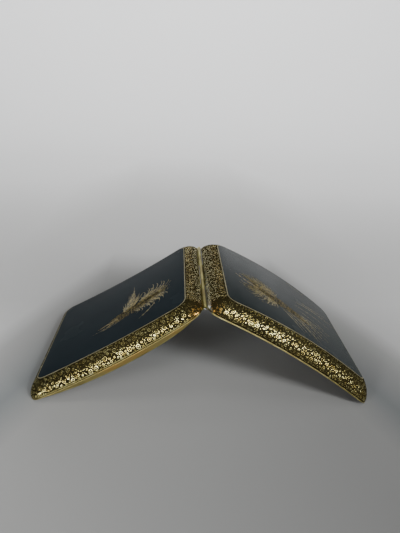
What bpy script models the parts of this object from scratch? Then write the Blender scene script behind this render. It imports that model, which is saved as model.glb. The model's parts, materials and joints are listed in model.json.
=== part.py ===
# A curved two-part cigarette case, standing open as a tent on the free edges of its covers.
# Metres, +Z up. X runs across the covers, Y along the hinge, and z = 0 is the surface it stands on.
# Each cover is drawn in its own frame: +X from the hinge line to the free edge, +Y along the hinge,
# +Z out of the case, and z = 0 in the plane where the two covers meet when they are closed.

import math
from collections import namedtuple

import bmesh
import bpy
from mathutils import Matrix, Vector

# Driving dimensions of the covers
CASE_WIDTH = 0.0800
CASE_LENGTH = 0.0760
CORNER_RADIUS = 0.0053
TILT = math.radians(31.5)

# The rounded border that frames the outer field
BORDER_WIDTH = 0.0054
WALL_HEIGHT = 0.0009
FIELD_CORNER = 0.0040
ROUNDNESS = 1.53

# Each cover's height above the meeting plane, and the rise of its rim and of its field at mid-width:
# both rims follow one arch, the base's field is hollow and the lid's is crowned
CoverShape = namedtuple("CoverShape", "height rim_rise field_rise")
BASE = CoverShape(height=0.0058, rim_rise=-0.0024, field_rise=-0.0014)
LID = CoverShape(height=0.0068, rim_rise=0.0024, field_rise=0.0035)

# Sheet thicknesses and the gaps between the pieces
IRON_SHEET = 0.0006
BRASS_SHEET = 0.00045
MATING_GAP = 0.0003
SEAT_GAP = 0.00015
LIP_GAP = 0.00025

# The lip of the base lining that enters the lid, below the middle of the flange: its height at
# mid-width, its height at both ends, and where it stands
LIP_HEIGHT = 0.0031
LIP_BEAD = 0.0005
LIP_START = 0.0050
LIP_END = 0.0790
LIP_SKEW = 0.75
LIP_FULLNESS = 2.6

# Hinge: three tubes on one pin, its line outside the hinge walls
HINGE_OFFSET = 0.0007
TUBE_RADIUS = 0.0008
BORE_RADIUS = 0.00042
PIN_RADIUS = 0.00035
PIN_HEAD_RADIUS = 0.00062
PIN_HEAD_HEIGHT = 0.0004
HINGE_LENGTH = 0.0700
TUBE_GAP = 0.0002
TUBE_CLEARANCE = 0.00025
WEB_REACH = 0.0016
WEB_THICKNESS = 0.00035

# The worn flat along each free edge that the open case stands on
FOOT_WEAR = 0.00016

# Facets of the curved surfaces
CORNER_STEPS = 6
SIDE_STEPS = 12
BOLSTER_STEPS = 7
LIP_STEPS = 2
TUBE_SIDES = 20
PIN_SIDES = 16
HEAD_STEPS = 4
SHARP_ANGLE = math.radians(40)
WELD = 0.00001

# A row of a cover's section: its outline's inset and corner radius, its height, and how far it
# follows the field, from 0 at the rim to 1
Row = namedtuple("Row", "inset radius height share")

RIM_LEVEL = MATING_GAP / 2
FLANGE_TOP = RIM_LEVEL + BRASS_SHEET
IRON_RIM = FLANGE_TOP + SEAT_GAP
LINING_INSET = IRON_SHEET + SEAT_GAP
LIP_INSET = LINING_INSET + BRASS_SHEET + LIP_GAP
HINGE_HEIGHT = (
    (CASE_WIDTH + HINGE_OFFSET) * math.sin(TILT) - RIM_LEVEL * math.cos(TILT) - FOOT_WEAR
)


def clear_scene():
    for item in list(bpy.data.objects):
        bpy.data.objects.remove(item, do_unlink=True)


def new_collection(name):
    collection = bpy.data.collections.new(name)
    bpy.context.scene.collection.children.link(collection)
    return collection


def metal(name, colour, roughness):
    material = bpy.data.materials.new(name)
    material.use_nodes = True
    shader = material.node_tree.nodes["Principled BSDF"]
    shader.inputs["Base Color"].default_value = (*colour, 1.0)
    shader.inputs["Roughness"].default_value = roughness
    shader.inputs["Metallic"].default_value = 1.0
    return material


def add_object(name, bm, collection, parent=None):
    mesh = bpy.data.meshes.new(name)
    bm.to_mesh(mesh)
    bm.free()
    item = bpy.data.objects.new(name, mesh)
    item.parent = parent
    collection.objects.link(item)
    return item


# Outline of a cover seen from outside, drawn in by inset, its corners rounded to radius.
# The points come in pairs across the case: point i faces point -1 - i.
def outline(inset, radius):
    side = -CASE_LENGTH / 2 + inset
    hinge_corner = Vector((inset + radius, side + radius))
    free_corner = Vector((CASE_WIDTH - inset - radius, side + radius))
    near = []
    for step in range(CORNER_STEPS + 1):
        turn = math.radians(180 + 90 * step / CORNER_STEPS)
        near.append(hinge_corner + radius * Vector((math.cos(turn), math.sin(turn))))
    for step in range(1, SIDE_STEPS):
        near.append(Vector((hinge_corner.x, side)).lerp(Vector((free_corner.x, side)), step / SIDE_STEPS))
    for step in range(CORNER_STEPS + 1):
        turn = math.radians(270 + 90 * step / CORNER_STEPS)
        near.append(free_corner + radius * Vector((math.cos(turn), math.sin(turn))))
    far = [Vector((point.x, -point.y)) for point in reversed(near)]
    return near + far


def arch(across):
    return 4 * (across / CASE_WIDTH) * (1 - across / CASE_WIDTH)


# The border's section from its wall to the field, drawn in by a sheet's inset.
def bolster_rows(shape, wall_inset, field_inset):
    rows = []
    for step in range(BOLSTER_STEPS + 1):
        turn = math.radians(90) * step / BOLSTER_STEPS
        inward = math.cos(turn) ** (2 / ROUNDNESS)
        upward = math.sin(turn) ** (2 / ROUNDNESS)
        slope = Vector((
            inward ** (ROUNDNESS - 1) / BORDER_WIDTH,
            upward ** (ROUNDNESS - 1) / (shape.height - WALL_HEIGHT),
        )).normalized()
        depth = BORDER_WIDTH * (1 - inward)
        height = WALL_HEIGHT + (shape.height - WALL_HEIGHT) * upward
        along = depth / BORDER_WIDTH
        inset = wall_inset + (field_inset - wall_inset) * along
        radius = CORNER_RADIUS + (FIELD_CORNER - CORNER_RADIUS) * along
        rows.append(Row(
            inset=depth + inset * slope.x,
            radius=radius - inset * slope.x,
            height=height - inset * slope.y,
            share=height / shape.height,
        ))
    return rows


# Places a row's outline in the cover's frame, its height following the arch of rim and field.
def ring(shape, row):
    rise = shape.rim_rise + (shape.field_rise - shape.rim_rise) * row.share
    return [
        Vector((point.x + HINGE_OFFSET, point.y, row.height + rise * arch(point.x)))
        for point in outline(row.inset, row.radius)
    ]


# Skins a run of rings, and closes the last one with strips across the case.
def skin(rings):
    bm = bmesh.new()
    rows = [[bm.verts.new(point) for point in points] for points in rings]
    count = len(rings[0])
    for lower, upper in zip(rows, rows[1:]):
        for here in range(count):
            after = (here + 1) % count
            bm.faces.new((lower[here], lower[after], upper[after], upper[here]))
    field = rows[-1]
    for here in range(count // 2 - 1):
        bm.faces.new((field[here], field[here + 1], field[-2 - here], field[-1 - here]))
    return bm


def solidify(item, thickness):
    modifier = item.modifiers.new("sheet", "SOLIDIFY")
    modifier.thickness = thickness
    modifier.offset = -1
    modifier.use_even_offset = True


def boolean(item, other, operation):
    modifier = item.modifiers.new(other.name, "BOOLEAN")
    modifier.operation = operation
    modifier.object = other
    modifier.solver = "EXACT"


def shade_round(item):
    item.data.shade_smooth()
    item.data.set_sharp_from_angle(angle=SHARP_ANGLE)


def make_guide(item):
    item.hide_render = True
    item.display_type = "WIRE"
    return item


# A round bar along the hinge line, from one place on it to another.
def hinge_bar(name, radius, start, end, sides, collection, parent):
    bm = bmesh.new()
    lie_down = Matrix.Translation((0, (start + end) / 2, 0)) @ Matrix.Rotation(math.radians(90), 4, "X")
    bmesh.ops.create_cone(
        bm, cap_ends=True, segments=sides, radius1=radius, radius2=radius, depth=end - start, matrix=lie_down
    )
    return make_guide(add_object(name, bm, collection, parent))


# A flat strip from the hinge line to the lining's flange, which carries a hinge tube.
def hinge_web(name, start, end, collection, parent):
    bm = bmesh.new()
    middle = Vector((WEB_REACH / 2, (start + end) / 2, (RIM_LEVEL + FLANGE_TOP) / 2))
    size = Vector((WEB_REACH, end - start, WEB_THICKNESS, 1))
    bmesh.ops.create_cube(bm, size=1, matrix=Matrix.Translation(middle) @ Matrix.Diagonal(size))
    return make_guide(add_object(name, bm, collection, parent))


# The three stretches of the hinge line, from -Y to +Y.
def tube_stretches():
    share = HINGE_LENGTH / 3
    edges = [-HINGE_LENGTH / 2 + share * step for step in range(4)]
    return list(zip(edges, edges[1:]))


# Iron cover: one sheet with a straight wall, a rounded border and a curved field.
def build_cover(name, shape, collection, parent):
    rim_row = Row(inset=0, radius=CORNER_RADIUS, height=IRON_RIM, share=0)
    rows = [rim_row] + bolster_rows(shape, 0, 0)
    cover = add_object(name, skin([ring(shape, row) for row in rows]), collection, parent)
    shade_round(cover)
    solidify(cover, IRON_SHEET)
    return cover


# Lid lining: a brass tray whose turned-out flange covers the rim of the iron.
def build_lid_lining(name, collection, parent):
    edge_row = Row(inset=0, radius=CORNER_RADIUS, height=FLANGE_TOP, share=0)
    turn_row = Row(LINING_INSET, CORNER_RADIUS - LINING_INSET, FLANGE_TOP, share=0)
    rows = [edge_row, turn_row] + bolster_rows(LID, LINING_INSET, LINING_INSET)
    lining = add_object(name, skin([ring(LID, row) for row in rows]), collection, parent)
    shade_round(lining)
    solidify(lining, BRASS_SHEET)
    return lining


# How far the lip reaches below the middle of the flange: a low bead at its ends, tallest between them.
def lip_depth(across):
    along = min(max((across - LIP_START) / (LIP_END - LIP_START), 0), 1)
    return LIP_BEAD + (LIP_HEIGHT - LIP_BEAD) * (1 - abs(2 * along ** LIP_SKEW - 1) ** LIP_FULLNESS)


# A row of the lip, from its lower edge at share 1 to the flange at share 0.
# It leans in as the lid's border does, so that it enters the lid with a constant gap.
def lip_ring(share):
    inset = LIP_INSET + BRASS_SHEET / 2
    wall = bolster_rows(LID, inset, inset)
    points = []
    for index, point in enumerate(outline(inset, CORNER_RADIUS - inset)):
        level = (RIM_LEVEL + FLANGE_TOP) / 2 - lip_depth(point.x) * share
        lean = 0
        for lower, upper in zip(wall, wall[1:]):
            if lower.height <= -level <= upper.height:
                blend = (-level - lower.height) / (upper.height - lower.height)
                lean = lower.inset + (upper.inset - lower.inset) * blend - inset
        leaned = outline(inset + lean, CORNER_RADIUS - inset - lean)[index]
        points.append(Vector((leaned.x + HINGE_OFFSET, leaned.y, level + BASE.rim_rise * arch(leaned.x))))
    return points


# Base lining: a brass tray with a flange round its wall, and the lip standing on past the flange.
# The sheets meet in one seam, so this surface is the middle of the brass.
def build_base_lining(name, collection, parent):
    lip = [lip_ring(1 - step / LIP_STEPS) for step in range(LIP_STEPS + 1)]
    wall = bolster_rows(BASE, LIP_INSET + BRASS_SHEET / 2, LINING_INSET + BRASS_SHEET / 2)
    bm = skin(lip + [ring(BASE, row) for row in wall])
    bm.verts.ensure_lookup_table()
    count = len(lip[0])
    seam = bm.verts[count * LIP_STEPS:count * (LIP_STEPS + 1)]
    edge_row = Row(inset=0, radius=CORNER_RADIUS, height=(RIM_LEVEL + FLANGE_TOP) / 2, share=0)
    edge = [bm.verts.new(point) for point in ring(BASE, edge_row)]
    for here in range(count):
        after = (here + 1) % count
        bm.faces.new((edge[here], edge[after], seam[after], seam[here]))
    lining = add_object(name, bm, collection, parent)
    shade_round(lining)
    sheet = lining.modifiers.new("sheet", "SOLIDIFY")
    sheet.thickness = BRASS_SHEET
    sheet.solidify_mode = "NON_MANIFOLD"
    sheet.nonmanifold_thickness_mode = "EVEN"
    sheet.nonmanifold_merge_threshold = WELD
    sheet.offset = 0
    return lining


# Joins a lining's own tubes to it, and cuts room in its flange for the other cover's tubes.
def fit_hinge(lining, own, others, guides, parent):
    clearance = TUBE_RADIUS + TUBE_CLEARANCE
    for index, (start, end) in enumerate(others):
        start -= TUBE_GAP
        end += TUBE_GAP
        room = hinge_bar(f"{lining.name}_room_{index}", clearance, start, end, TUBE_SIDES, guides, parent)
        boolean(lining, room, "DIFFERENCE")
    for index, (start, end) in enumerate(own):
        start += TUBE_GAP / 2
        end -= TUBE_GAP / 2
        web = hinge_web(f"{lining.name}_web_{index}", start, end, guides, parent)
        boolean(lining, web, "UNION")
        tube = hinge_bar(f"{lining.name}_tube_{index}", TUBE_RADIUS, start, end, TUBE_SIDES, guides, parent)
        boolean(lining, tube, "UNION")
    bore = hinge_bar(
        f"{lining.name}_bore", BORE_RADIUS, -HINGE_LENGTH, HINGE_LENGTH, PIN_SIDES, guides, parent
    )
    boolean(lining, bore, "DIFFERENCE")


# Hinge pin: a turned steel wire with a low domed head at each end.
def build_pin(name, collection, parent):
    end = HINGE_LENGTH / 2
    dome = []
    for step in range(HEAD_STEPS):
        turn = math.radians(90) * (1 - step / HEAD_STEPS)
        dome.append((PIN_HEAD_RADIUS * math.cos(turn), end + TUBE_GAP + PIN_HEAD_HEIGHT * math.sin(turn)))
    profile = dome + [(PIN_HEAD_RADIUS, end + TUBE_GAP), (PIN_RADIUS, end + TUBE_GAP)]
    profile += [(radius, -height) for radius, height in reversed(profile)]
    bm = bmesh.new()
    points = [bm.verts.new((radius, 0, height)) for radius, height in profile]
    for before, after in zip(points, points[1:]):
        bm.edges.new((before, after))
    pin = add_object(name, bm, collection, parent)
    pin.rotation_euler = (math.radians(-90), 0, 0)
    screw = pin.modifiers.new("turned", "SCREW")
    screw.steps = PIN_SIDES
    screw.render_steps = PIN_SIDES
    screw.use_merge_vertices = True
    screw.merge_threshold = WELD
    return pin


# Trims a lining's free edge level with the surface, as long standing has worn it.
def wear_foot(lining, guides):
    bm = bmesh.new()
    block = Vector((CASE_WIDTH * 3, CASE_LENGTH * 2, CASE_WIDTH, 1))
    place = Matrix.Translation((0, 0, -CASE_WIDTH / 2))
    bmesh.ops.create_cube(bm, size=1, matrix=place @ Matrix.Diagonal(block))
    surface = make_guide(add_object(f"{lining.name}_surface", bm, guides))
    boolean(lining, surface, "DIFFERENCE")


def hinge_empty(name, rotation, collection):
    empty = bpy.data.objects.new(name, None)
    empty.location = (0, 0, HINGE_HEIGHT)
    empty.rotation_euler = rotation
    collection.objects.link(empty)
    return empty


def build_case():
    clear_scene()
    parts = new_collection("cigarette_case")
    guides = new_collection("cutters")
    iron = metal("blackened_iron", (0.022, 0.030, 0.038), 0.30)
    brass = metal("gilt_brass", (0.72, 0.52, 0.20), 0.28)
    steel = metal("bare_steel", (0.55, 0.55, 0.53), 0.25)

    base = hinge_empty("base_side", (0, TILT, math.radians(180)), parts)
    lid = hinge_empty("lid_side", (0, TILT, 0), parts)

    base_cover = build_cover("base_cover", BASE, parts, base)
    lid_cover = build_cover("lid_cover", LID, parts, lid)
    base_lining = build_base_lining("base_lining", parts, base)
    lid_lining = build_lid_lining("lid_lining", parts, lid)
    pin = build_pin("hinge_pin", parts, base)

    near, middle, far = tube_stretches()
    fit_hinge(base_lining, [near, far], [middle], guides, base)
    fit_hinge(lid_lining, [middle], [near, far], guides, lid)
    for lining in (base_lining, lid_lining):
        wear_foot(lining, guides)

    for item, material in (
        (base_cover, iron),
        (lid_cover, iron),
        (base_lining, brass),
        (lid_lining, brass),
        (pin, steel),
    ):
        item.data.materials.append(material)


build_case()
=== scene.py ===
import json
import math
import random

import bpy
import numpy as np
from mathutils import Matrix, Vector


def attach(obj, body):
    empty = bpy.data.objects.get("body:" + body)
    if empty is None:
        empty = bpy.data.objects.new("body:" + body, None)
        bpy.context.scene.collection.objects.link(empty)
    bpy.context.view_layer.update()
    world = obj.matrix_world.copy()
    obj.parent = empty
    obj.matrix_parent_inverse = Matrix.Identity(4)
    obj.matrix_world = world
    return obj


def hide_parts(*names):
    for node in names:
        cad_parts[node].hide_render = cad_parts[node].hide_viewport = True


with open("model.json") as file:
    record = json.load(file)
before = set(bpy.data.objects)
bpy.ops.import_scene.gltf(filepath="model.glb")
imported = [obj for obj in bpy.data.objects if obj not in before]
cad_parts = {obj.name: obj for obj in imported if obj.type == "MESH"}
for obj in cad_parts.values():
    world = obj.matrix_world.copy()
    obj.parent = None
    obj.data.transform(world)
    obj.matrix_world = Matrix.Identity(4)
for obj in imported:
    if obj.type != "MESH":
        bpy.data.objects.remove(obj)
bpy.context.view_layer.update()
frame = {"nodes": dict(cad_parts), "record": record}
mm = 0.001

caseForm = {
    "width": 80.0,
    "length": 76.0,
    "corner": 5.3,        # corner radius at the rim
    "fieldCorner": 4.0,   # corner radius where the field begins
    "border": 5.4,        # width of the rounded border
    "rim": 0.75,          # level of the iron's rim
    "wall": 0.9,          # level where the border starts to round over
    "roundness": 1.53,    # of the border: 2 is a quarter of an ellipse, 1 a flat bevel
    "sheet": 0.6,         # thickness of the iron
    "hingeOffset": 0.7,   # from the middle of the pin to the cover
    "tilt": math.radians(31.5),
    "sectionSteps": 240,  # points of the border's section
    "cornerSteps": 20,    # faces round a corner, along a side and up the border
    "sideSteps": 60,
    "borderSteps": 28,
}
covers = {  # side: which way from the hinge; the rises are those of its rim and field, half way out
    "base": {"node": "base_cover", "side": -1, "height": 5.8, "rimRise": -2.4, "fieldRise": -1.4},
    "lid": {"node": "lid_cover", "side": 1, "height": 6.8, "rimRise": 2.4, "fieldRise": 3.5},
}
hingeHeight = frame["record"]["behaviour"]["joints"][0]["pos_m"][2] / mm


# Shape of a cover, as arrays

def arch(u):
    return 4 * (u / caseForm["width"]) * (1 - u / caseForm["width"])


def borderSection(cover):  # from the rim over the border: length, inset, height, share of the field
    turn = np.linspace(0, math.pi / 2, caseForm["sectionSteps"])
    power = 2 / caseForm["roundness"]
    inset = caseForm["border"] * (1 - np.cos(turn).clip(0) ** power)
    height = caseForm["wall"] + (cover["height"] - caseForm["wall"]) * np.sin(turn) ** power
    inset = np.append(0, inset)
    height = np.append(caseForm["rim"], height)
    share = height / cover["height"]
    share[0] = 0
    length = np.append(0, np.cumsum(np.hypot(np.diff(inset), np.diff(height))))
    return length, inset, height, share


def outlineSpans():  # straight and round stretches, measured half way up the border
    inset = caseForm["border"] / 2
    radius = (caseForm["corner"] + caseForm["fieldCorner"]) / 2
    across = caseForm["width"] - 2 * (inset + radius)
    down = caseForm["length"] - 2 * (inset + radius)
    arc = math.pi / 2 * radius
    return np.array([across, arc, down, arc] * 2)


def outlinePoints(along, inset, radius):  # starts on the side with low v, and goes round to high u
    spans = outlineSpans()
    starts = np.append(0, np.cumsum(spans))
    along = np.mod(along, starts[-1])
    part = np.clip(np.searchsorted(starts, along, side="right") - 1, 0, 7)
    share = (along - starts[part]) / spans[part]
    quarter = part // 2
    onArc = part % 2 == 1
    halfU = caseForm["width"] / 2 - inset - radius
    halfV = caseForm["length"] / 2 - inset - radius
    signU = np.array([1, 1, -1, -1])
    signV = np.array([-1, 1, 1, -1])
    slide = np.where(onArc, 1, share)
    u = halfU * (signU[quarter - 1] * (1 - slide) + signU[quarter] * slide)
    v = halfV * (signV[quarter - 1] * (1 - slide) + signV[quarter] * slide)
    turn = math.pi / 2 * (quarter - 1 + np.where(onArc, share, 0))
    return u + radius * np.cos(turn) + caseForm["width"] / 2, v + radius * np.sin(turn)


def borderPoints(cover, along, across):
    length, insets, heights, shares = borderSection(cover)
    inset = np.interp(across, length, insets)
    height = np.interp(across, length, heights)
    share = np.interp(across, length, shares)
    radius = caseForm["corner"] + (caseForm["fieldCorner"] - caseForm["corner"]) * inset / caseForm["border"]
    u, v = outlinePoints(along, inset, radius)
    rise = cover["rimRise"] + (cover["fieldRise"] - cover["rimRise"]) * share
    return np.stack([u, v, height + rise * arch(u)], -1)


def fieldPoints(cover, u, v):
    return np.stack([u, v, cover["height"] + cover["fieldRise"] * arch(u)], -1)


def liftOff(surface, cover, first, second, lift):  # points standing off a surface along its normal
    step = 0.02
    here = surface(cover, first, second)
    tangent = surface(cover, first + step, second) - surface(cover, first - step, second)
    other = surface(cover, first, second + step) - surface(cover, first, second - step)
    normal = np.cross(tangent, other)
    normal /= np.linalg.norm(normal, axis=-1, keepdims=True) + 1e-12
    return here + normal * lift[..., None]


def toFrame(cover, points):
    u = points[..., 0] + caseForm["hingeOffset"]
    w = points[..., 2]
    sine, cosine = math.sin(caseForm["tilt"]), math.cos(caseForm["tilt"])
    x = cover["side"] * (u * cosine + w * sine)
    y = cover["side"] * points[..., 1]
    return np.stack([x, y, hingeHeight - u * sine + w * cosine], -1) * mm


def addMesh(name, points, faces, material):
    mesh = bpy.data.meshes.new(name)
    mesh.from_pydata(points.tolist(), [], faces)
    mesh.validate()
    mesh.shade_smooth()
    mesh.materials.append(material)
    piece = bpy.data.objects.new(name, mesh)
    bpy.context.scene.collection.objects.link(piece)
    return piece


# Materials

def newMaterial(name, metallic):
    material = bpy.data.materials.new(name)
    material.use_nodes = True
    tree = material.node_tree
    shader = tree.nodes["Principled BSDF"]
    shader.inputs["Metallic"].default_value = metallic
    place = tree.nodes.new("ShaderNodeTexCoord").outputs["Object"]
    return material, tree, shader, place


def addNode(tree, kind, values, **settings):  # each value is put on its input, or linked to it
    node = tree.nodes.new(kind)
    for setting, value in settings.items():
        setattr(node, setting, value)
    for key, value in values.items():
        if isinstance(value, bpy.types.NodeSocket):
            tree.links.new(value, node.inputs[key])
        else:
            node.inputs[key].default_value = value
    return node


def addNoise(tree, place, scale, detail=3, stretch=(1, 1, 1)):
    stretched = addNode(tree, "ShaderNodeMapping", {"Vector": place, "Scale": stretch}).outputs["Vector"]
    values = {"Vector": stretched, "Scale": scale, "Detail": detail}
    return addNode(tree, "ShaderNodeTexNoise", values).outputs["Fac"]


def addRamp(tree, factor, stops):
    node = addNode(tree, "ShaderNodeValToRGB", {"Fac": factor})
    ramp = node.color_ramp
    for element, (position, colour) in zip(ramp.elements, (stops[0], stops[-1])):
        element.position, element.color = position, (*colour, 1)
    for position, colour in stops[1:-1]:
        ramp.elements.new(position).color = (*colour, 1)
    return node.outputs["Color"]


def addRange(tree, factor, low, high, fromLow=0.3, fromHigh=0.7):  # noise lies mostly in 0.3 to 0.7
    values = {"Value": factor, "From Min": fromLow, "From Max": fromHigh, "To Min": low, "To Max": high}
    return addNode(tree, "ShaderNodeMapRange", values).outputs["Result"]


def addMath(tree, operation, *values):
    return addNode(tree, "ShaderNodeMath", dict(enumerate(values)), operation=operation).outputs["Value"]


def addMix(tree, share, first, second):
    values = {"Factor": share, "A": first, "B": second}
    return addNode(tree, "ShaderNodeMix", values, data_type="RGBA").outputs["Result"]


def addDistance(tree, place, middle):
    values = {0: place, 1: middle}
    return addNode(tree, "ShaderNodeVectorMath", values, operation="DISTANCE").outputs["Value"]


def addHingeDistance(tree, place):  # from the hinge line, anywhere along it
    values = {0: place, 1: (1, 0, 1)}
    flat = addNode(tree, "ShaderNodeVectorMath", values, operation="MULTIPLY").outputs["Vector"]
    return addDistance(tree, flat, (0, 0, hingeHeight * mm))


def addSpot(tree, place, colour, spot, middle, most, reach):  # one patch of another colour
    near = addRange(tree, addDistance(tree, place, middle), most, 0, *reach)
    return addMix(tree, near, colour, (*spot, 1))


def finishShader(tree, shader, colour, roughness, grain, look):
    values = {"Height": grain, "Strength": look["bump"], "Distance": look["depth"]}
    bump = addNode(tree, "ShaderNodeBump", values)
    tree.links.new(colour, shader.inputs["Base Color"])
    tree.links.new(roughness, shader.inputs["Roughness"])
    tree.links.new(bump.outputs["Normal"], shader.inputs["Normal"])


ironLook = {
    "baseField": [(0.30, (0.0130, 0.0205, 0.0255)), (0.70, (0.0175, 0.0265, 0.0315))],
    "lidField": [(0.30, (0.0120, 0.0185, 0.0190)), (0.70, (0.0165, 0.0240, 0.0240))],
    "border": [(0.30, (0.0150, 0.0126, 0.0050)), (0.70, (0.0265, 0.0215, 0.0082))],
    "baseGloss": 1.038,   # refraction index of each finish: the border's is almost matt
    "lidGloss": 1.083,
    "borderGloss": 1.01,
    "roughness": (0.22, 0.28),
    "mottle": 45,
    "grain": 2600, "bump": 0.12, "depth": 0.00002,
    # bare steel along the lid's hinge wall, broken up by noise
    "worn": (0.30, 0.31, 0.24),
    "wornMetal": 0.45,
    "wearScale": 900,
    "wearStretch": (1, 0.6, 1),
    "wearBreak": (0.42, 0.58),     # levels of the noise between which it fades in
    "wearReach": (0.0014, 0.0030),  # distances from the hinge line over which it fades out
    "wearAlong": (-0.034, 0.004),  # and places along it
    "wearLeast": 0.1,              # what is left of it from there on
    # worn bare at the near end, with a painted highlight there: a near-white spot standing in for the
    # steel's glint
    "bead": (0.97, 0.96, 0.86),
    "highlightAt": (0.0012, -0.0341, 0.0424),
    "highlightReach": (0.0006, 0.0011),
}


def ironMaterial(name, stops, gloss, worn=False):
    material, tree, shader, place = newMaterial(name, 0.0)
    shader.inputs["IOR"].default_value = gloss
    mottle = addNoise(tree, place, ironLook["mottle"])
    colour = addRamp(tree, mottle, stops)
    if worn:
        near = addRange(tree, addHingeDistance(tree, place), 1, 0, *ironLook["wearReach"])
        spots = addNoise(tree, place, ironLook["wearScale"], detail=4, stretch=ironLook["wearStretch"])
        broken = addRange(tree, spots, 0, 1, *ironLook["wearBreak"])
        y = addNode(tree, "ShaderNodeSeparateXYZ", {"Vector": place}).outputs["Y"]
        along = addRange(tree, y, 1, ironLook["wearLeast"], *ironLook["wearAlong"])
        mask = addMath(tree, "MULTIPLY", addMath(tree, "MULTIPLY", near, broken), along)
        colour = addMix(tree, mask, colour, (*ironLook["worn"], 1))
        # a painted highlight: a near-white spot at the near end of the hinge wall
        colour = addSpot(tree, place, colour, ironLook["bead"], ironLook["highlightAt"], 1, ironLook["highlightReach"])
        metal = addRange(tree, mask, 0, ironLook["wornMetal"], 0, 1)
        tree.links.new(metal, shader.inputs["Metallic"])
    roughness = addRange(tree, mottle, *ironLook["roughness"])
    grain = addNoise(tree, place, ironLook["grain"])
    finishShader(tree, shader, colour, roughness, grain, ironLook)
    return material


def metalMaterial(name, look):  # colour in patches, and a fine grain that breaks up its shine
    material, tree, shader, place = newMaterial(name, look["metallic"])
    patches = addNoise(tree, place, look["patches"])
    colour = addRamp(tree, patches, look["stops"])
    if "rubbed" in look:
        near = addRange(tree, addHingeDistance(tree, place), 1, 0, *look["rubbedReach"])
        colour = addMix(tree, near, colour, addRamp(tree, patches, look["rubbed"]))
    # a patch of another colour round one point; on the border's gold it is a painted warm reflection
    if "paintedReflection" in look:
        colour = addSpot(tree, place, colour, look["paintedReflection"], look["paintedReflectionAt"], look["paintedReflectionMost"],
                         look["paintedReflectionReach"])
    grain = addNoise(tree, place, look["grain"])
    roughness = addRange(tree, grain, *look["roughness"])
    finishShader(tree, shader, colour, roughness, grain, look)
    return material


inlayLook = {  # the border's gold, with a painted warm reflection at the near end of the hinge
    "metallic": 0.91, "patches": 420,
    "stops": [(0.32, (0.36, 0.275, 0.075)), (0.50, (0.59, 0.51, 0.19)), (0.66, (0.79, 0.73, 0.34))],
    "grain": 1200, "roughness": (0.20, 0.30), "bump": 1.0, "depth": 0.00012,
    "paintedReflection": (0.62, 0.30, 0.04),
    "paintedReflectionAt": (0.0, -0.0365, 0.0415),
    "paintedReflectionMost": 0.85,
    "paintedReflectionReach": (0.0040, 0.0080),
}
lineLook = {  # the plain lines round the fields, rubbed matt
    "metallic": 0.55, "patches": 200,
    "stops": [(0.32, (0.30, 0.27, 0.14)), (0.50, (0.43, 0.39, 0.22)), (0.66, (0.54, 0.50, 0.31))],
    "grain": 1500, "roughness": (0.40, 0.55), "bump": 0.3, "depth": 0.00004,
}
pictureLook = {  # the figures on the fields: duller and browner than the border, dark in places
    "metallic": 0.80, "patches": 900,
    "stops": [(0.40, (0.040, 0.034, 0.011)), (0.50, (0.25, 0.198, 0.056)), (0.60, (0.46, 0.370, 0.125))],
    "grain": 1500, "roughness": (0.34, 0.50), "bump": 1.0, "depth": 0.00012,
}
copperLook = {  # their bodies are a little redder
    "metallic": 0.80, "patches": 900,
    "stops": [(0.40, (0.045, 0.034, 0.011)), (0.50, (0.27, 0.203, 0.057)), (0.60, (0.47, 0.360, 0.120))],
    "grain": 1500, "roughness": (0.34, 0.50), "bump": 1.0, "depth": 0.00012,
}
brassLook = {  # the trays are tarnished inside, and rubbed bright along the hinge line
    "metallic": 1.0, "patches": 120,
    "stops": [(0.32, (0.08, 0.06, 0.03)), (0.55, (0.14, 0.11, 0.055)), (0.75, (0.21, 0.17, 0.08))],
    "grain": 900, "roughness": (0.30, 0.45), "bump": 0.1, "depth": 0.00004,
    "rubbed": [(0.40, (0.31, 0.26, 0.07)), (0.56, (0.48, 0.44, 0.13))],
    "rubbedReach": (0.0012, 0.0016),
}
polishedHighlitLook = {  # brass edges, polished by handling, and made paler as a painted highlight
    "metallic": 1.0, "patches": 160,
    "stops": [(0.32, (0.32, 0.26, 0.08)), (0.55, (0.50, 0.44, 0.16)), (0.75, (0.64, 0.58, 0.26))],
    "grain": 1500, "roughness": (0.32, 0.44), "bump": 0.5, "depth": 0.00004,
}
lipLook = {  # the lip is duller, with orange stains
    "metallic": 0.85, "patches": 90,
    "stops": [(0.36, (0.29, 0.25, 0.09)), (0.52, (0.34, 0.28, 0.10)), (0.74, (0.45, 0.29, 0.08))],
    "grain": 1500, "roughness": (0.34, 0.46), "bump": 0.5, "depth": 0.00004,
}
steelLook = {  # the hinge pin
    "metallic": 1.0, "patches": 300,
    "stops": [(0.35, (0.42, 0.42, 0.41)), (0.65, (0.66, 0.66, 0.65))],
    "grain": 1500, "roughness": (0.15, 0.30), "bump": 0.1, "depth": 0.00004,
}
baseIron = ironMaterial("baseIron", ironLook["baseField"], ironLook["baseGloss"])
lidIron = ironMaterial("lidIron", ironLook["lidField"], ironLook["lidGloss"])
borderIron = ironMaterial("borderIron", ironLook["border"], ironLook["borderGloss"])
wornIron = ironMaterial("wornIron", ironLook["border"], ironLook["borderGloss"], worn=True)
goldInlay = metalMaterial("goldInlay", inlayLook)
goldLine = metalMaterial("goldLine", lineLook)
goldPicture = metalMaterial("goldPicture", pictureLook)
copperPicture = metalMaterial("copperPicture", copperLook)
giltBrass = metalMaterial("giltBrass", brassLook)
polishedHighlitBrass = metalMaterial("polishedHighlitBrass", polishedHighlitLook)
brassLip = metalMaterial("brassLip", lipLook)
bareSteel = metalMaterial("bareSteel", steelLook)
print("materials made")


# Iron covers: fine versions of the two cover solids

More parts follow.
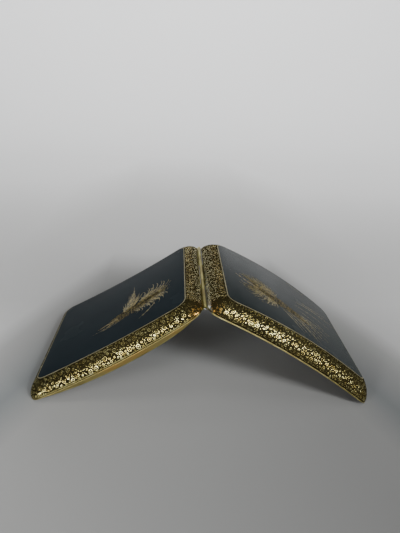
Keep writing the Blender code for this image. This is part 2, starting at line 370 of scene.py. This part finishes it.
def coverMesh(name, cover, border, field):
    spans = outlineSpans()
    starts = np.append(0, np.cumsum(spans))
    corner, side = caseForm["cornerSteps"], caseForm["sideSteps"]
    hair = 1e-6  # keeps a half's last station on its own corner

    def stations(part, steps):
        return starts[part] + spans[part] * np.arange(steps) / steps

    # the hinge side and the free edge are straight, so one face spans them
    nearHalf = [stations(7, corner), stations(0, side), stations(1, corner), [starts[2] - hair]]
    farHalf = [stations(3, corner), stations(4, side), stations(5, corner), [starts[6] - hair]]
    along = np.concatenate(nearHalf + farHalf)
    count = len(along)
    total = borderSection(cover)[0][-1]
    upright = caseForm["wall"] - caseForm["rim"]
    across = np.append(0, np.linspace(upright, total, caseForm["borderSteps"]))
    rows = [borderPoints(cover, along, np.full(count, value)) for value in across]
    faces = []
    for row in range(len(rows) - 1):
        for here in range(count):
            after = (here + 1) % count
            low, high = row * count, (row + 1) * count
            faces.append((low + here, low + after, high + after, high + here))
    top = (len(rows) - 1) * count
    borderFaces = len(faces)
    for here in range(count // 2 - 1):  # the field, in strips from the near half to the far one
        faces.append((top + here, top + here + 1, top + count - 2 - here, top + count - 1 - here))
    piece = addMesh(name, toFrame(cover, np.concatenate(rows)), faces, border)
    piece.data.materials.append(field)
    for face in piece.data.polygons[borderFaces:]:
        face.material_index = 1
    sheet = piece.modifiers.new("sheet", "SOLIDIFY")
    sheet.thickness = caseForm["sheet"] * mm
    sheet.offset = -1
    sheet.use_even_offset = True
    return piece


ironOf = {"base": (borderIron, baseIron), "lid": (wornIron, lidIron)}
for body, cover in covers.items():
    piece = coverMesh(f"{body}_iron", cover, *ironOf[body])
    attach(piece, body)
    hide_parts(cover["node"])
print("iron covers made")


# Gold motifs, each drawn flat about its own middle in millimetres: x, y and how far it stands off

sunk, crest = -0.008, 0.014  # the edges go a little into the iron, the middle stands proud


def dome(x, y, reach, wide, turn=0, sides=6, top=crest):
    points = [(x, y, top)]
    for step in range(sides):
        angle = 2 * math.pi * step / sides
        dx, dy = reach * math.cos(angle), wide * math.sin(angle)
        spin = (dx * math.cos(turn) - dy * math.sin(turn), dx * math.sin(turn) + dy * math.cos(turn))
        points.append((x + spin[0], y + spin[1], sunk))
    faces = [(0, 1 + step, 1 + (step + 1) % sides) for step in range(sides)]
    return points, faces


def ribbon(path, halves, closed=False, top=crest):  # a strip along a path, highest along its middle
    path = np.asarray(path, float)
    if closed:
        ahead, behind = np.roll(path, -1, 0), np.roll(path, 1, 0)
    else:
        ahead, behind = np.vstack([path[1:], path[-1:]]), np.vstack([path[:1], path[:-1]])
    run = ahead - behind
    run /= np.linalg.norm(run, axis=1, keepdims=True) + 1e-9
    out = np.stack([-run[:, 1], run[:, 0]], 1) * np.asarray(halves, float)[:, None]
    points, faces, count = [], [], len(path)
    for edge, lift in ((path + out, sunk), (path, top), (path - out, sunk)):
        points += [(x, y, lift) for x, y in edge]
    for row in range(2):
        for here in range(count if closed else count - 1):
            after = (here + 1) % count
            low, high = row * count, (row + 1) * count
            faces.append((high + here, high + after, low + after, low + here))
    return points, faces


def join(parts):
    points, faces = [], []
    for morePoints, moreFaces in parts:
        shift = len(points)
        points += morePoints
        faces += [tuple(corner + shift for corner in face) for face in moreFaces]
    return points, faces


def ringMotif(ring, half, steps, dot, sides):  # a ring round a plain dot
    turns = [2 * math.pi * step / steps for step in range(steps)]
    circle = [(ring * math.cos(turn), ring * math.sin(turn)) for turn in turns]
    return join([ribbon(circle, [half] * steps, closed=True), dome(0, 0, dot, dot, sides=sides)])


def blossomMotif(petals, away, long, wide, dot):
    shapes = []
    for petal in range(petals):
        turn = 2 * math.pi * petal / petals
        shapes.append(dome(away * math.cos(turn), away * math.sin(turn), long, wide, turn, sides=7))
    return join(shapes + [dome(0, 0, dot, dot)])


def curlMotif(outer, inner, turns, halves, steps, head, drop=0):  # widens to a round head
    shares = np.linspace(0, 1, steps + 1)
    reach = outer + (inner - outer) * shares
    angles = 2 * math.pi * turns * shares
    path = np.stack([reach * np.cos(angles), reach * np.sin(angles) - drop], 1)
    return join([ribbon(path, np.interp(shares, (0, 1), halves)), dome(*path[-1], head, head)])


def sprayMotif(spread, away, middle, long, wide, stem, wave, half):  # three leaves from one stem
    leaves = []
    for turn in (-spread, 0, spread):
        x, y = middle + away * math.cos(turn), away * math.sin(turn)
        leaves.append(dome(x, y, long, wide, turn, sides=7))
    path = [(x, wave * math.sin(step)) for step, x in enumerate(np.linspace(*stem, 4))]
    return join(leaves + [ribbon(path, [half] * len(path))])


def leafMotif(long, bend, tip, belly, steps):
    shares = np.linspace(0, 1, steps + 1)
    swell = np.sin(math.pi * shares)
    return ribbon(np.stack([long * (shares - 0.5), bend * swell], 1), tip + belly * swell)


motifs = {
    "roundel": ringMotif(ring=0.78, half=0.15, steps=18, dot=0.34, sides=9),
    "ring": ringMotif(ring=0.52, half=0.16, steps=12, dot=0.22, sides=6),
    "blossom": blossomMotif(petals=5, away=0.42, long=0.24, wide=0.20, dot=0.12),
    "scroll": curlMotif(outer=0.58, inner=0.16, turns=1.35, halves=(0.09, 0.16), steps=14, head=0.17),
    "comma": curlMotif(outer=0.42, inner=0.42, turns=0.575, halves=(0.08, 0.22), steps=8, head=0.22,
                       drop=0.12),
    "spray": sprayMotif(spread=0.9, away=0.30, middle=-0.10, long=0.26, wide=0.12,
                        stem=(-0.56, -0.20), wave=0.05, half=0.07),
    "leaf": leafMotif(long=0.72, bend=0.10, tip=0.05, belly=0.15, steps=6),
    "dot": dome(0, 0, 0.20, 0.18),
}
borderLook = {
    "seed": 11,
    # thrown in this order; reach is that of a motif at size 1, and gap what it keeps from the others
    "throws": [
        {"of": ("roundel",), "times": 260, "reach": 0.95, "sizes": (0.78, 1.02), "gap": 0.26},
        {"of": ("ring", "blossom", "scroll"), "times": 1500, "reach": 0.68, "sizes": (0.78, 1.02),
         "gap": 0.17},
        {"of": ("ring", "comma", "blossom", "scroll"), "times": 9000, "reach": 0.66, "sizes": (0.60, 0.76),
         "gap": 0.16},
        {"of": ("comma", "spray"), "times": 12000, "reach": 0.62, "sizes": (0.46, 0.60), "gap": 0.15},
        {"of": ("leaf", "dot"), "times": 12000, "reach": 0.36, "sizes": (0.80, 1.15), "gap": 0.13},
        {"of": ("dot",), "times": 12000, "reach": 0.20, "sizes": (0.85, 1.25), "gap": 0.13},
    ],
    "fieldMargin": 0.60,  # kept free of motifs beside the field
    "lineMiddle": 0.32,   # frame line, from the field's edge
    "lineHalf": 0.21,
    "rimMiddle": 0.20,    # rim line, from the rim
    "rimHalf": 0.22,
    "lineSteps": 480,     # points round either line
}


def scatterMotifs(cover, draws):  # a throw counts only where there is room for it
    around = outlineSpans().sum()
    high = borderSection(cover)[0][-1] - borderLook["fieldMargin"]
    taken = np.zeros((sum(throw["times"] for throw in borderLook["throws"]), 3))
    placed = []
    for throw in borderLook["throws"]:
        for attempt in range(throw["times"]):
            size = draws.uniform(*throw["sizes"])
            reach = throw["reach"] * size
            along = draws.uniform(0, around)
            across = draws.uniform(reach, high - reach)
            others = taken[:len(placed)]
            aside = np.abs(others[:, 0] - along)
            aside = np.minimum(aside, around - aside)
            room = np.hypot(aside, others[:, 1] - across) - others[:, 2]
            if placed and room.min() < reach + throw["gap"]:
                continue
            taken[len(placed)] = (along, across, reach)
            placed.append((draws.choice(throw["of"]), along, across, size, draws.uniform(0, 2 * math.pi)))
    return placed


def layMetal(name, body, surface, points, faces, material):  # flat shapes laid onto a cover
    cover, flat = covers[body], np.array(points)
    curved = liftOff(surface, cover, flat[:, 0], flat[:, 1], flat[:, 2])
    piece = addMesh(name, toFrame(cover, curved), faces, material)
    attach(piece, body)


def layMotifs(name, body):
    draws = random.Random(borderLook["seed"] + covers[body]["side"])
    points, faces, shift = [], [], 0
    for motif, along, across, size, turn in scatterMotifs(covers[body], draws):
        drawn, drawnFaces = motifs[motif]
        x, y, lift = np.array(drawn).T
        sine, cosine = size * math.sin(turn), size * math.cos(turn)
        points.append(np.stack([along + x * cosine - y * sine, across + x * sine + y * cosine, lift], 1))
        faces += [tuple(corner + shift for corner in face) for face in drawnFaces]
        shift += len(drawn)
    layMetal(name, body, borderPoints, np.concatenate(points), faces, goldInlay)


def layLine(name, body, middle, half, material):
    around, count = outlineSpans().sum(), borderLook["lineSteps"]
    points, faces = ribbon([(around * step / count, middle) for step in range(count)], [half] * count)
    for row in range(2):  # close the line round to its start
        low, high = row * count, (row + 1) * count
        faces.append((high + count - 1, high, low, low + count - 1))
    layMetal(name, body, borderPoints, points, faces, material)


for body, cover in covers.items():
    layMotifs(f"{body}_border_inlay", body)
    middle = borderSection(cover)[0][-1] - borderLook["lineMiddle"]
    layLine(f"{body}_frame_line", body, middle, borderLook["lineHalf"], goldLine)
    print(f"{body} border inlaid")
layLine("base_rim_line", "base", borderLook["rimMiddle"], borderLook["rimHalf"], goldInlay)


# Brass that shows: the flanges' rounded edges, and a fine skin over the lip

edgeForm = {
    "steps": 320,          # stations round the three free sides
    "flangeLevel": 0.375,  # middle of a flange's sheet
    "flangeHalf": 0.23,
    "flangeSides": 10,
    "lipHalf": 0.25,
    "lipInset": 1.675,     # middle of the lip's sheet
    "lipMiddle": 0.375,    # level that the lip's depth is measured from
    "lipBead": 0.5,        # its depth at the ends, and how deep it goes between them
    "lipHeight": 3.1,
    "lipStart": 5.0,       # where it starts and ends, in u
    "lipEnd": 79.0,
    "lipSkew": 0.75,       # below 1 it is deepest nearer the hinge
    "lipFullness": 2.6,
    "lipSteps": 8,
    "lipRoundSteps": 6,
}
up = np.array([0, 0, 1])   # out of the case


def edgeStations():  # three sides of the outline, from one hinge corner round to the other
    spans = outlineSpans()
    return np.linspace(-spans[7] / 2, spans[:5].sum() + spans[5] / 2, edgeForm["steps"])


def outwardAt(inset):  # the outline's points, and the way out of it
    step = 0.5
    u, v = outlinePoints(edgeStations(), inset, caseForm["corner"] - inset)
    inU, inV = outlinePoints(edgeStations(), inset + step, caseForm["corner"] - inset - step)
    return np.stack([u, v], 1), np.stack([u - inU, v - inV, 0 * u], 1) / step


def lipMiddles(cover, share):  # the lip's middle, from the flange at share 0 to its edge at share 1
    flat, out = outwardAt(edgeForm["lipInset"])
    place = (flat[:, 0] - edgeForm["lipStart"]) / (edgeForm["lipEnd"] - edgeForm["lipStart"])
    bow = 1 - np.abs(2 * place.clip(0, 1) ** edgeForm["lipSkew"] - 1) ** edgeForm["lipFullness"]
    depth = edgeForm["lipBead"] + (edgeForm["lipHeight"] - edgeForm["lipBead"]) * bow
    level = edgeForm["lipMiddle"] - (depth - edgeForm["lipHalf"]) * share
    insets, heights = borderSection(covers["lid"])[1:3]
    flat -= out[:, :2] * np.interp(-level, heights, insets)[:, None]  # leans in as the lid's border does
    return np.column_stack([flat, level + cover["rimRise"] * arch(flat[:, 0])]), out


def addSweep(name, body, rings, material, bead=()):  # a closed skin through rings of stations
    count, sides = len(rings[0]), len(rings)
    faces = [tuple(side * count for side in range(sides))]
    faces.append(tuple((sides - 1 - side) * count + count - 1 for side in range(sides)))
    for side in range(sides):
        low, high = side * count, (side + 1) % sides * count
        for here in range(count - 1):
            faces.append((low + here, low + here + 1, high + here + 1, high + here))
    piece = addMesh(name, toFrame(covers[body], np.concatenate(rings)), faces, material)
    if bead:
        piece.data.materials.append(polishedHighlitBrass)
    for side in bead:  # paler brass along these sides, polished wear and a painted highlight; the two end faces come before them
        for face in piece.data.polygons[2 + side * (count - 1):2 + (side + 1) * (count - 1)]:
            face.material_index = 1
    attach(piece, body)


def layFlangeEdge(name, body, material):
    flat, out = outwardAt(0.0)
    middle = np.column_stack([flat, edgeForm["flangeLevel"] + covers[body]["rimRise"] * arch(flat[:, 0])])
    rings = []
    for side in range(edgeForm["flangeSides"]):
        turn = 2 * math.pi * side / edgeForm["flangeSides"]
        rings.append(middle + edgeForm["flangeHalf"] * (math.cos(turn) * out + math.sin(turn) * up))
    addSweep(name, body, rings, material)


def layLip(name, body, material):
    steps, roundSteps, half = edgeForm["lipSteps"], edgeForm["lipRoundSteps"], edgeForm["lipHalf"]
    levels = [lipMiddles(covers[body], step / steps) for step in range(steps + 1)]
    edge, out = levels[-1]
    rings = [middle - half * out for middle, out in levels]
    for step in range(roundSteps - 1, 0, -1):
        turn = math.pi * step / roundSteps
        rings.append(edge + half * (math.cos(turn) * out - math.sin(turn) * up))
    rings += [middle + half * out for middle, out in levels[::-1]]
    addSweep(name, body, rings, material, bead=range(steps, steps + roundSteps + 1))


# the base's flange edge gets the duller lip brass as painted shade, the lid's the paler brass as a painted
# highlight
layFlangeEdge("base_flange_edge", "base", brassLip)
layFlangeEdge("lid_flange_edge", "lid", polishedHighlitBrass)
layLip("base_lip", "base", brassLip)
for node in ("base_lining", "lid_lining"):
    frame["nodes"][node].material_slots[0].material = giltBrass
frame["nodes"]["hinge_pin"].material_slots[0].material = bareSteel
print("brass and steel finished")


# Birds on the fields, drawn feather by feather in millimetres (u, v)

birdLook = {
    "seed": 4,
    "steps": 14,              # along a feather
    "tipHalf": 0.03,          # half width of any feather's ends
    "belly": 0.8,             # below 1 a feather is widest nearer its root
    "between": 3,             # feathers drawn between two named tips
    "shortest": 0.80,         # every other feather ends this far along
    "stray": 0.45,            # how far a tip may stray
    "curlFrom": 0.64,         # where along a feather its curl begins, and how much curls vary
    "curls": (0.5, 1.2),
    # layers of a wing from below: how far each reaches, its feathers' half width and their crest
    "layers": ((1.00, 0.27, 0.040), (0.70, 0.17, 0.065), (0.42, 0.15, 0.085)),
    # the body's outline is part of a half wave: where it starts, how much of it and its lean
    "bodyFrom": 0.08,
    "bodySpan": 0.88,
    "bodyLean": 0.75,
    "bodyLeast": 0.25,
    "bodySteps": 60,          # and along its middle line
    "bodyCrest": 0.090,
    # its small feathers: length and how it varies, spacing, half width, how far apart, and their splay
    "scaleLong": 1.45,
    "scaleVaries": (0.85, 1.15),
    "scaleStep": 1.35,
    "scaleHalf": 0.27,
    "scaleApart": 3.4,
    "scaleSplay": 0.12,
    "scaleSteps": 6,
    "neck": (1.0, 0.36),      # half widths from one end to the other
    "neckSteps": 12,
    "beak": (0.34, 0.04),
    "beakSteps": 6,
    "head": (0.66, 0.52),     # half its length and width
    "streamer": (0.30, 0.03),  # half width and crest
    "wisp": (0.25, 0.02),
    "streamerSteps": 16,
}
birds = {
    "base": {
        "body": [(44, 12.6), (31, 10), (18, 7.6)],
        "bodyHalf": 3.1,
        "neck": [(39, 12.0), (43, 12.3), (46, 13.0)],
        "beak": [(46, 13.0), (49, 13.7)],
        "wings": [
            {"arm": [(36, 9.5), (32, 8)], "tips": [(37.5, 1), (33.2, -16), (31, -7), (27, -3)],
             "bend": 0.3, "curl": 0.0},
            {"arm": [(30, 8.5), (21, 7)],
             "tips": [(25, -3), (19.5, -6), (14, -3.5), (11, 1), (11.2, 5.5), (11.8, 10)],
             "bend": 0.5, "curl": 1.0},
            {"arm": [(20, 8.5), (31, 11.5)], "tips": [(12, 13.5), (16, 17), (21.5, 17.2), (28, 16.6)],
             "bend": -0.5, "curl": -0.9},
        ],
        "streamers": [
            [(20, 15), (23, 19.5), (27.5, 23)],
            [(36, 13.4), (43, 14.9), (51, 16.0)],
            [(37, 11), (42, 11.6), (48, 14.2)],
        ],
        "wisps": [[(36, 14.5), (42, 16), (48, 16.4)]],
    },
    "lid": {
        "body": [(20, -4), (33, -8), (49, -14.5)],
        "bodyHalf": 3.5,
        "neck": [(23, -5), (17.5, -3.0), (13.5, -0.5)],
        "beak": [(13.5, -0.5), (11.0, 1.4)],
        "wings": [
            {"arm": [(21, -3), (29, -5.5)],
             "tips": [(13.5, 5), (17, 9), (22, 11), (27.5, 10.5), (32, 7), (34.5, 2.5)],
             "bend": 0.7, "curl": 1.6},
            {"arm": [(21, -6), (29, -8.5)],
             "tips": [(12, -6.5), (13, -12), (16, -17), (21, -20.5), (27, -21), (31.5, -18)],
             "bend": -0.7, "curl": -1.6},
        ],
        "streamers": [
            [(38, -10.5), (46, -17), (52, -24.5)],
            [(36, -12), (43, -18.5), (49, -27)],
            [(33, -12.5), (38, -20), (42, -28)],
            [(40, -11), (48, -14.5), (54.5, -23)],
            [(40, -9.5), (47, -11), (54, -15.5)],
            [(35, -13), (40, -19), (45, -27.5)],
            [(42, -10.5), (50, -13.5), (58, -20)],
            [(43, -9.5), (52, -11), (60, -15.5)],
            [(37, -12), (45, -19), (51, -29)],
            [(41, -9), (51, -8.5), (61, -10.5)],
        ],
        "wisps": [
            [(43, 5.5), (56, 9.5), (72, 12.5)],
            [(49, 11), (59, 13), (70, 17.5)],
            [(46, 30.5), (51, 29), (58, 28.5)],
            [(45, -3), (54, -5), (62, -10)],
            [(44, 1.0), (55, 2.5), (66, 1.0)],
            [(48, 7.0), (60, 10.5), (74, 10.0)],
        ],
    },
}


def curve(path, steps):  # a smooth line through three points, or straight through two
    path = [np.array(point, float) for point in path]
    if len(path) == 2:
        path.insert(1, (path[0] + path[1]) / 2)
    shares = np.linspace(0, 1, steps + 1)[:, None]
    pull = 2 * path[1] - (path[0] + path[2]) / 2
    return (1 - shares) ** 2 * path[0] + 2 * shares * (1 - shares) * pull + shares ** 2 * path[2]


def plume(line, half, top):  # fine at both ends
    shares = np.linspace(0, 1, len(line))
    halves = birdLook["tipHalf"] + half * np.sin(math.pi * shares ** birdLook["belly"])
    return ribbon(line, halves, top=top)


def taper(path, steps, halves, top):
    return ribbon(curve(path, steps), np.linspace(*halves, steps + 1), top=top)


def featherLine(root, tip, bend, curl):  # bends all along, and curls over towards its tip
    run = np.array(tip) - root
    steps, curlFrom = birdLook["steps"], birdLook["curlFrom"]
    stride = np.linalg.norm(run) / steps
    heading = math.atan2(run[1], run[0]) - bend / 2
    line = [np.array(root, float)]
    for step in range(steps):
        heading += bend / steps
        if step > curlFrom * steps:
            heading += curl / ((1 - curlFrom) * steps)
        line.append(line[-1] + stride * np.array([math.cos(heading), math.sin(heading)]))
    return line


def wingFeathers(wing, draws):  # roots spread along the wing's arm, tips along its named outline
    arm = [np.array(point, float) for point in wing["arm"]]
    tips = np.array(wing["tips"], float)
    count = (len(tips) - 1) * (birdLook["between"] + 1) + 1
    spots = np.linspace(0, 1, len(tips))
    stray = birdLook["stray"]
    shapes = []
    for reach, half, top in birdLook["layers"]:
        for step in range(count):
            share = step / (count - 1)
            tip = np.array([np.interp(share, spots, tips[:, axis]) for axis in (0, 1)])
            tip += (draws.uniform(-stray, stray), draws.uniform(-stray, stray))
            root = arm[0] + (arm[1] - arm[0]) * share
            end = root + (tip - root) * reach * (1 if step % 2 == 0 else birdLook["shortest"])
            line = featherLine(root, end, wing["bend"], wing["curl"] * draws.uniform(*birdLook["curls"]))
            shapes.append(plume(line, half, top))
    return shapes


def bodyFeathers(bird, draws):  # small overlapping feathers in rows that follow the body
    steps = birdLook["bodySteps"]
    line = curve(bird["body"], steps)
    length = np.linalg.norm(np.diff(line, axis=0), axis=1).sum()
    shapes = []
    for row in range(int(length / birdLook["scaleStep"])):
        share = (row + 0.5) * birdLook["scaleStep"] / length
        index = min(int(share * steps), steps - 1)
        run = line[index + 1] - line[index]
        run /= np.linalg.norm(run)
        out = np.array([-run[1], run[0]])
        wave = birdLook["bodyFrom"] + birdLook["bodySpan"] * share ** birdLook["bodyLean"]
        half = bird["bodyHalf"] * math.sin(math.pi * wave) + birdLook["bodyLeast"]
        across = max(1, round(2 * half / (birdLook["scaleApart"] * birdLook["scaleHalf"])))
        for place in range(across + 1):
            aside = -half + 2 * half * (place + (0.5 if row % 2 else 0)) / (across + 0.5)
            root = line[index] + out * aside
            long = birdLook["scaleLong"] * draws.uniform(*birdLook["scaleVaries"])
            end = root + run * long + out * aside * birdLook["scaleSplay"]
            scale = curve([root, end], birdLook["scaleSteps"])
            shapes.append(plume(scale, birdLook["scaleHalf"], birdLook["bodyCrest"]))
    return shapes


def layBird(name, body, bird):
    draws = random.Random(birdLook["seed"])
    top = birdLook["bodyCrest"]
    trunk = bodyFeathers(bird, draws)
    trunk.append(taper(bird["neck"], birdLook["neckSteps"], birdLook["neck"], top))
    trunk.append(dome(*bird["neck"][-1], *birdLook["head"], sides=10, top=top))
    trunk.append(taper(bird["beak"], birdLook["beakSteps"], birdLook["beak"], top / 2))
    plumage = []
    for wing in bird["wings"]:
        plumage += wingFeathers(wing, draws)
    for kind in ("streamer", "wisp"):
        for path in bird[f"{kind}s"]:
            plumage.append(plume(curve(path, birdLook["streamerSteps"]), *birdLook[kind]))
    layMetal(name, body, fieldPoints, *join(plumage), goldPicture)
    layMetal(f"{name}_body", body, fieldPoints, *join(trunk), copperPicture)


for body, bird in birds.items():
    layBird(f"{body}_bird", body, bird)
    print(f"{body} bird inlaid")


# Floor, light and camera

stageLook = {
    # the floor's grey from front to back, with painted light and shade: darker under the case as painted
    # shade, a painted shadow behind it, then paling towards the sheet as painted light
    "greysWithPaintedShade": [(-0.20, (0.345, 0.347, 0.342)), (-0.02, (0.375, 0.378, 0.372)), (0.03, (0.255, 0.272, 0.277)),
              (0.085, (0.39, 0.395, 0.39)), (0.105, (0.45, 0.455, 0.45)), (0.14, (0.70, 0.705, 0.70)),
              (0.17, (0.73, 0.735, 0.73)), (0.30, (0.76, 0.765, 0.76)), (0.55, (0.98, 0.985, 0.99))],
    "bow": 0.19,                   # at the sides the greys come this much nearer the front, which keeps the painted shade to the middle, round the case
    "bowReach": (0.055, 0.125),    # between these distances from the middle
    "paintedSlant": 5.2,                  # painted shade: paler to the left and darker to the right, in front of the case
    "paintedSlantReach": (-0.10, 0.06),   # and fading out between these depths
    "roughness": 0.75,
    "reach": 1.6,                  # how far the floor goes to the front and to the sides
    "back": 0.55,                  # where the standing sheet starts, its bend, its sides and its height
    "bend": 0.35,
    "sheet": (-0.90, 0.95),
    "sheetTop": 0.34,
    "sheetSteps": 16,
}


def makeStage():
    material, tree, shader, place = newMaterial("floorWithPaintedShade", 0.0)
    shader.inputs["Roughness"].default_value = stageLook["roughness"]
    axes = addNode(tree, "ShaderNodeSeparateXYZ", {"Vector": place}).outputs
    near, far = stageLook["greysWithPaintedShade"][0][0], stageLook["greysWithPaintedShade"][-1][0]
    stops = [((depth - near) / (far - near), grey) for depth, grey in stageLook["greysWithPaintedShade"]]
    # the painted shade under and behind the case narrows towards the sides
    bow = addRange(tree, addMath(tree, "ABSOLUTE", axes["X"]), 0, stageLook["bow"], *stageLook["bowReach"])
    depth = addRange(tree, addMath(tree, "ADD", bow, axes["Y"]), 0, 1, near, far)
    # painted shade, paler to the left and darker to the right in front of the case
    front = addRange(tree, axes["Y"], 1, 0, *stageLook["paintedSlantReach"])
    paintedSlant = addMath(tree, "MULTIPLY", front, axes["X"])
    share = addMath(tree, "MULTIPLY_ADD", paintedSlant, -stageLook["paintedSlant"], 1)
    values = {0: addRamp(tree, depth, stops), "Scale": share}
    shade = addNode(tree, "ShaderNodeVectorMath", values, operation="SCALE").outputs["Vector"]
    tree.links.new(shade, shader.inputs["Base Color"])
    reach, back, bend, steps = [stageLook[key] for key in ("reach", "back", "bend", "sheetSteps")]
    highest = math.acos(1 - stageLook["sheetTop"] / bend)
    turns = [highest * step / steps for step in range(steps + 1)]
    section = [(back + bend * math.sin(turn), bend * (1 - math.cos(turn))) for turn in turns]
    floor = np.array([(-reach, -reach, 0), (reach, -reach, 0), (reach, back, 0), (-reach, back, 0)])
    sheet = np.array([(x, y, z) for y, z in section for x in stageLook["sheet"]])
    faces = [(2 * row, 2 * row + 1, 2 * row + 3, 2 * row + 2) for row in range(steps)]
    addMesh("floor", floor, [(0, 1, 2, 3)], material)
    addMesh("sheet", sheet, faces, material)


caseMiddle = (0, 0, 0.02)
# az: degrees round from the viewer to the right; el: degrees up; away: metres. What lies to the left
# lights the left cover's gold, and what lies to the right the other's.
lightLook = {
    "left": {"az": -39, "el": 18, "away": 1.60, "size": (0.36, 0.34), "power": 7.5},
    "leftMiddle": {"az": -34, "el": 13, "away": 1.60, "size": (0.34, 0.26), "power": 2.6},
    "leftLow": {"az": -22, "el": 5, "away": 1.60, "size": (0.40, 0.20), "power": 1.7},
    "leftUpper": {"az": -76, "el": 40, "away": 1.60, "size": (0.50, 0.34), "power": 0.75},
    "leftFar": {"az": -55, "el": 8, "away": 1.60, "size": (0.36, 0.26), "power": 1.7},
    "right": {"az": 32, "el": 33, "away": 1.60, "size": (0.36, 0.36), "power": 12.0},
    "rightLow": {"az": 45, "el": 20, "away": 1.60, "size": (0.36, 0.36), "power": 7.5},
    "front": {"az": -4, "el": 50, "away": 1.60, "size": (0.60, 0.40), "power": 2.1},
    "top": {"az": 0, "el": 78, "away": 1.60, "size": (0.60, 0.60), "power": 2.2},
    "leftSide": {"az": -110, "el": 36, "away": 1.60, "size": (0.34, 0.34), "power": 0.5},
    "rightSide": {"az": 105, "el": 36, "away": 1.60, "size": (0.34, 0.34), "power": 1.25},
    "hinge": {"az": 180, "el": 24, "away": 1.40, "size": (0.50, 0.34), "power": 0.65,
              "colour": (1.0, 0.87, 0.70)},
    "sheet": {"az": 180, "el": 53, "away": 0.69, "size": (1.2, 0.2), "power": 3.6, "aim": (0, 1.2, 0)},
}


def addLight(name, look):
    data = bpy.data.lights.new(name, "AREA")
    data.shape = "RECTANGLE"
    data.size, data.size_y = look["size"]
    data.energy = look["power"]
    data.color = look.get("colour", (1, 1, 1))
    light = bpy.data.objects.new(name, data)
    az, el = math.radians(look["az"]), math.radians(look["el"])
    along = Vector((math.sin(az) * math.cos(el), -math.cos(az) * math.cos(el), math.sin(el)))
    light.location = along * look["away"]
    aim = Vector(look.get("aim", caseMiddle)) - light.location
    light.rotation_euler = aim.to_track_quat("-Z", "Y").to_euler()
    light.visible_camera = False
    bpy.context.scene.collection.objects.link(light)


cameraLook = {  # the viewing angle of the photograph
    "place": (-0.01265, -0.21426, 0.12918),
    "turn": math.radians(3.13),
    "lookDown": math.radians(21.29),
    "roll": math.radians(-2.58),
    "lens": 35.10,
}


def addCamera():
    turn, drop, roll = cameraLook["turn"], cameraLook["lookDown"], cameraLook["roll"]
    ahead = np.array([math.sin(turn) * math.cos(drop), math.cos(turn) * math.cos(drop), -math.sin(drop)])
    right = np.array([math.cos(turn), -math.sin(turn), 0])
    down = np.cross(ahead, right)
    across = right * math.cos(roll) + down * math.sin(roll)
    upward = right * math.sin(roll) - down * math.cos(roll)
    data = bpy.data.cameras.new("camera")
    data.lens = cameraLook["lens"]
    camera = bpy.data.objects.new("camera", data)
    axes = Matrix((across, upward, -ahead)).transposed().to_4x4()
    camera.matrix_world = Matrix.Translation(cameraLook["place"]) @ axes
    bpy.context.scene.collection.objects.link(camera)
    bpy.context.scene.camera = camera


roomLook = {
    "grey": (0.62, 0.63, 0.64),
    "glow": 0.01,       # the room's light on things
    "backdrop": 0.95,   # how bright the room itself looks beyond the floor
}


def addWorld():
    world = bpy.data.worlds.new("room")
    world.use_nodes = True
    tree = world.node_tree
    background = tree.nodes["Background"]
    background.inputs["Color"].default_value = (*roomLook["grey"], 1)
    rays = tree.nodes.new("ShaderNodeLightPath").outputs["Is Camera Ray"]
    strength = addRange(tree, rays, roomLook["glow"], roomLook["backdrop"], 0, 1)
    tree.links.new(strength, background.inputs["Strength"])
    bpy.context.scene.world = world


makeStage()
for name, look in lightLook.items():
    addLight(name, look)
addWorld()
addCamera()
print("stage, lights and camera set")
